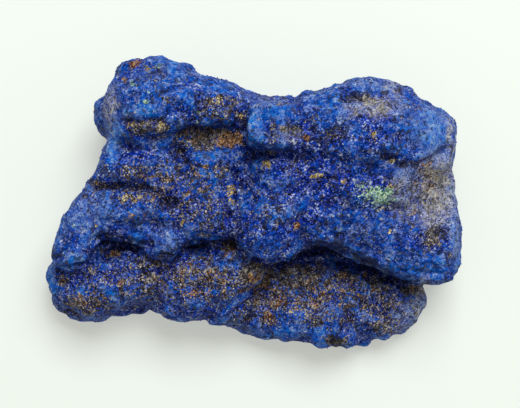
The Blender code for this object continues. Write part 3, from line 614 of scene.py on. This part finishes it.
def azurite_blue(tree, place, share, chance, clump_chance):
    """Azurite, from deep ultramarine to a pale blue, its palest crystals painted glints of faces seen
    edge on, in drifts of lighter and darker crust. It is lighter, greener and more even where the crust
    is clean and, as painted light, on crests; a little darker among sand, and on steep sides as painted
    shade."""
    drift = add_node(tree, "ShaderNodeTexNoise", inputs={
        "Vector": place, "Scale": 1 / (DRIFT_WIDTH * MM), "Detail": 4.0, "Roughness": 0.6})
    drift = add_node(tree, "ShaderNodeMapRange", inputs={0: drift, 1: 0.32, 2: 0.68})
    middle = add_node(tree, "ShaderNodeMath", {"operation": "MULTIPLY_ADD"},
                      {0: drift, 1: 0.5, 2: 0.25})
    spread = add_node(tree, "ShaderNodeMath", {"operation": "MULTIPLY_ADD"},
                      {0: share["bright"], 1: -0.6, 2: 1.0})
    apart = add_node(tree, "ShaderNodeMath", {"operation": "SUBTRACT"}, {0: chance[0], 1: 0.5})
    tone = add_node(tree, "ShaderNodeMath", {"operation": "MULTIPLY_ADD"},
                    {0: apart, 1: spread, 2: middle})
    # the blue is darker among sand, and on steep sides partly as painted shade
    for darker in ("sandy", "steep"):
        tone = add_node(tree, "ShaderNodeMath", {"operation": "MULTIPLY_ADD"},
                        {0: share[darker], 1: -0.15, 2: tone})
    deep = add_node(tree, "ShaderNodeValToRGB", inputs={0: tone}, stops=ULTRAMARINE)
    clean = add_node(tree, "ShaderNodeValToRGB", inputs={0: tone}, stops=AZURE)
    blue = add_node(tree, "ShaderNodeMix", {"data_type": "RGBA"},
                    {0: share["bright"], 6: deep, 7: clean})
    vivid = add_node(tree, "ShaderNodeMapRange", inputs={0: clump_chance[0], 3: 0.80, 4: 1.25})
    blue = add_node(tree, "ShaderNodeHueSaturation",
                    inputs={"Saturation": vivid, "Color": blue.outputs[2]})
    return blue.outputs[0]


def speckled(tree, under, stops, share, most, chance, luck):
    """Grains of these colours over a colour, on as much of it as the share says."""
    grain = add_node(tree, "ShaderNodeValToRGB", inputs={0: chance[1]}, stops=stops)
    wanted = add_node(tree, "ShaderNodeMath", {"operation": "MULTIPLY"}, {0: share, 1: most})
    here = add_node(tree, "ShaderNodeMath", {"operation": "LESS_THAN"}, {0: luck, 1: wanted})
    over = add_node(tree, "ShaderNodeMix", {"data_type": "RGBA"}, {0: here, 6: under, 7: grain})
    return over.outputs[2]


def clay_film(tree, under, share, chance):
    """Clay dust over a colour, thicker on some crystals than on others."""
    clay = add_node(tree, "ShaderNodeValToRGB", inputs={0: chance[0]}, stops=CLAY)
    depth = add_node(tree, "ShaderNodeMath", {"operation": "MULTIPLY_ADD"},
                     {0: chance[2], 1: 0.45, 2: 0.52})
    film = add_node(tree, "ShaderNodeMath", {"operation": "MULTIPLY"}, {0: share, 1: depth})
    over = add_node(tree, "ShaderNodeMix", {"data_type": "RGBA"}, {0: film, 6: under, 7: clay})
    return over.outputs[2]


def dark_pores_and_painted_shade(tree, under, share, clump_chance):
    """Clumps of almost black crust, as many of them as the share says: dark pores, and painted shade
    under overhangs.
    """
    pore_and_shade = add_node(tree, "ShaderNodeMix", {"data_type": "RGBA"},
                    {0: 0.7, 6: under, 7: linear(PORE_AND_SHADE_DARK)})
    wanted = add_node(tree, "ShaderNodeMath", {"operation": "MULTIPLY"}, {0: share, 1: 0.95})
    here = add_node(tree, "ShaderNodeMath", {"operation": "LESS_THAN"},
                    {0: clump_chance[1], 1: wanted})
    over = add_node(tree, "ShaderNodeMix", {"data_type": "RGBA"},
                    {0: here, 6: under, 7: pore_and_shade.outputs[2]})
    return over.outputs[2]


def crust_colour(tree, place, share, chance, clump_chance):
    """Azurite and all that lies on it, with painted shade down in the hollows. Sand and ochre
    come in streaks: a crystal's luck is partly the streak's and partly its own."""
    streaks = add_node(tree, "ShaderNodeTexNoise", inputs={
        "Vector": place, "Scale": 1 / (STREAK_WIDTH * MM), "Detail": 3.0, "Roughness": 0.6})
    streaks = add_node(tree, "ShaderNodeMapRange", inputs={0: streaks, 1: 0.30, 2: 0.70})
    own_luck = add_node(tree, "ShaderNodeMath", {"operation": "MULTIPLY"}, {0: chance[2], 1: 0.42})
    luck = add_node(tree, "ShaderNodeMath", {"operation": "MULTIPLY_ADD"},
                    {0: streaks, 1: 0.58, 2: own_luck})
    colour = azurite_blue(tree, place, share, chance, clump_chance)
    colour = speckled(tree, colour, QUARTZ_SAND, share["sandy"], 0.85, chance, luck)
    colour = clay_film(tree, colour, share["clayey"], chance)
    # near-black clumps: dark pores, and painted shade under overhangs
    colour = dark_pores_and_painted_shade(tree, colour, share["dark"], clump_chance)
    colour = speckled(tree, colour, IRON_OCHRE, share["rust"], 0.80, chance, luck)
    colour = speckled(tree, colour, LIMONITE, share["gold"], 0.85, chance, luck)
    colour = speckled(tree, colour, GREEN, share["malachite"], 0.85, chance, luck)
    # painted shade: the colour is darkened towards SHADE down in the hollows
    shade = add_node(tree, "ShaderNodeMath", {"operation": "MULTIPLY"},
                     {0: share["hollow"], 1: 0.38})
    colour = add_node(tree, "ShaderNodeMix", {"data_type": "RGBA"},
                      {0: shade, 6: colour, 7: linear(SHADE)})
    return colour.outputs[2]


def crystal_faces(tree, cells, bright):
    """Each crystal is turned its own way, so that each catches the light on its own, and has
    a rounded edge. Clean crust is smoother."""
    turned = add_node(tree, "ShaderNodeVectorMath", {"operation": "SUBTRACT"},
                      {0: cells.outputs["Color"], 1: (0.5, 0.5, 0.5)})
    lean = add_node(tree, "ShaderNodeMath", {"operation": "MULTIPLY_ADD"},
                    {0: bright, 1: -0.5, 2: 1.05})
    leaning = add_node(tree, "ShaderNodeVectorMath", {"operation": "SCALE"},
                       {0: turned, "Scale": lean})
    normal = add_node(tree, "ShaderNodeNewGeometry").outputs["Normal"]
    face = add_node(tree, "ShaderNodeVectorMath", {"operation": "ADD"}, {0: leaning, 1: normal})
    face = add_node(tree, "ShaderNodeVectorMath", {"operation": "NORMALIZE"}, {0: face})
    return add_node(tree, "ShaderNodeBump", {"invert": True}, {
        "Strength": 0.6, "Distance": 0.1 * MM, "Height": cells.outputs["Distance"], "Normal": face})


def azurite_crust(names):
    """Azurite crust on sandstone, as it grew: a sugary skin of blue crystals a quarter of a
    millimetre across, no two of one blue, with bare quartz sand, iron ochre, grey clay and
    dark pores showing between them. The crystal faces glint, and the rest is matt."""
    material, tree = new_material("azurite_crust")
    place = add_node(tree, "ShaderNodeTexCoord").outputs["Object"]
    share = {name: add_node(tree, "ShaderNodeAttribute", {"attribute_name": name}).outputs["Fac"]
             for name in names}
    cells = add_node(tree, "ShaderNodeTexVoronoi",
                     inputs={"Vector": place, "Scale": 1 / (CRYSTAL_WIDTH * MM)})
    clumps = add_node(tree, "ShaderNodeTexVoronoi",
                      inputs={"Vector": place, "Scale": 1 / (CLUMP_WIDTH * MM)})
    # three random numbers for each crystal, and three for each clump
    chance, clump_chance = (
        add_node(tree, "ShaderNodeSeparateColor", inputs={"Color": each.outputs["Color"]}).outputs
        for each in (cells, clumps))
    roughness = add_node(tree, "ShaderNodeMapRange", inputs={0: chance[2], 3: 0.35, 4: 0.85})
    shader = add_node(tree, "ShaderNodeBsdfPrincipled", inputs={
        "Base Color": crust_colour(tree, place, share, chance, clump_chance),
        "Roughness": roughness, "IOR": 1.7, "Specular IOR Level": 0.05,
        "Normal": crystal_faces(tree, cells, share["bright"]),
    })
    add_node(tree, "ShaderNodeOutputMaterial", inputs={"Surface": shader})
    return material


def mineral(name, colour, roughness, refraction):
    """A mineral whose grains are too small to show a pattern of their own."""
    material, tree = new_material(name)
    shader = add_node(tree, "ShaderNodeBsdfPrincipled", inputs={
        "Base Color": linear(colour), "Roughness": roughness, "IOR": refraction,
        "Specular IOR Level": 0.1,
    })
    add_node(tree, "ShaderNodeOutputMaterial", inputs={"Surface": shader})
    return material


def one_grain(name, sides, stretch):
    """One grain of unit size: a stretched double pyramid, its corners knocked about."""
    bpy.ops.mesh.primitive_uv_sphere_add(segments=sides, ring_count=2, radius=0.5)
    grain = bpy.context.object
    grain.name = grain.data.name = name
    bpy.ops.object.mode_set(mode="EDIT")
    bpy.ops.transform.resize(value=stretch)
    bpy.ops.transform.vertex_random(offset=0.09, seed=5)
    bpy.ops.object.mode_set(mode="OBJECT")
    return grain


def strew(grain, rock, per_mm2, least, greatest, share, seed):
    """Repeats the grain over the rock by Geometry Nodes, realized, as one mesh."""
    tree = bpy.data.node_groups.new("strewn_" + grain.name, "GeometryNodeTree")
    tree.interface.new_socket("Geometry", in_out="INPUT", socket_type="NodeSocketGeometry")
    tree.interface.new_socket("Geometry", in_out="OUTPUT", socket_type="NodeSocketGeometry")
    given = add_node(tree, "NodeGroupInput")
    ground = add_node(tree, "GeometryNodeObjectInfo", inputs={"Object": rock})
    wanted = add_node(tree, "GeometryNodeInputNamedAttribute", {"data_type": "FLOAT"},
                      {"Name": share})
    density = add_node(tree, "ShaderNodeMath", {"operation": "MULTIPLY"},
                       {0: wanted, 1: per_mm2 / MM ** 2})
    points = add_node(tree, "GeometryNodeDistributePointsOnFaces", inputs={
        "Mesh": ground.outputs["Geometry"], "Density": density, "Seed": seed})
    turn = add_node(tree, "FunctionNodeRandomValue", {"data_type": "FLOAT_VECTOR"},
                    {"Min": (0, 0, 0), "Max": (FULL_TURN,) * 3, "Seed": seed + 100})
    size = add_node(tree, "FunctionNodeRandomValue", {"data_type": "FLOAT_VECTOR"},
                    {"Min": (least * MM,) * 3, "Max": (greatest * MM,) * 3, "Seed": seed + 200})
    copies = add_node(tree, "GeometryNodeInstanceOnPoints", inputs={
        "Points": points, "Instance": given, "Rotation": turn, "Scale": size})
    real = add_node(tree, "GeometryNodeRealizeInstances", inputs={"Geometry": copies})
    add_node(tree, "NodeGroupOutput", inputs={0: real})
    apply_modifier(grain, "NODES", node_group=tree)


def strewn_grains(rock):
    """All the kinds of grains, each kind as one piece."""
    made = []
    for name, kind, per_mm2, least, greatest, share, seed in GRAINS:
        *finish, shape = MINERALS[kind]
        piece = one_grain(name, *shape)
        strew(piece, rock, per_mm2, least, greatest, share, seed)
        piece.data.materials.clear()
        piece.data.materials.append(mineral(*finish))
        made.append(piece)
    return made


# ---------------------------------------------------------------- the stage

def white_card():
    """The floor: white card, matt, and lit a little from within so that it stays pale."""
    bpy.ops.mesh.primitive_plane_add(size=3)
    card = bpy.context.object
    card.name = "white_card"
    material, tree = new_material("white_card")
    shader = add_node(tree, "ShaderNodeBsdfPrincipled", inputs={
        "Base Color": linear("#B4BAB4"), "Roughness": 0.9, "Specular IOR Level": 0.2,
        "Emission Color": linear("#F9F9F0"), "Emission Strength": 0.40,
    })
    add_node(tree, "ShaderNodeOutputMaterial", inputs={"Surface": shader})
    card.data.materials.append(material)


def window():
    """One soft light, high behind the rock and to its right."""
    lamp = bpy.data.lights.new("window", "AREA")
    lamp.size, lamp.energy = 0.40, 4.9
    lamp.color = (0.96, 1.0, 1.0)
    holder = bpy.data.objects.new("window", lamp)
    holder.location = (0.12, 0.34, 0.60)
    holder.rotation_euler = (-holder.location).to_track_quat("-Z", "Y").to_euler()
    bpy.context.scene.collection.objects.link(holder)


def soft_room():
    """Pale light from all round."""
    room = bpy.data.worlds.new("soft_room")
    bpy.context.scene.world = room
    room.use_nodes = True
    background = room.node_tree.nodes["Background"]
    background.inputs["Color"].default_value = linear("#F8F9F1")
    background.inputs["Strength"].default_value = 0.45


def camera():
    """Almost straight above the rock, and far enough away to draw it nearly flat."""
    lens = bpy.data.cameras.new("camera")
    lens.lens, lens.sensor_width, lens.clip_start = LENS, SENSOR, 0.01
    eye = bpy.data.objects.new("camera", lens)
    eye.location = EYE
    eye.rotation_euler = (AIM - EYE).to_track_quat("-Z", "Y").to_euler()
    bpy.context.scene.collection.objects.link(eye)
    bpy.context.scene.camera = eye


white_card()
window()
soft_room()
camera()
bpy.context.scene.view_settings.view_transform = "Standard"

crust = rock_skin()
names = store_shares(crust)
crust.data.materials.clear()
crust.data.materials.append(azurite_crust(names))
for piece in [crust] + strewn_grains(crust):
    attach(piece, "root")
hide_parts(NODE)
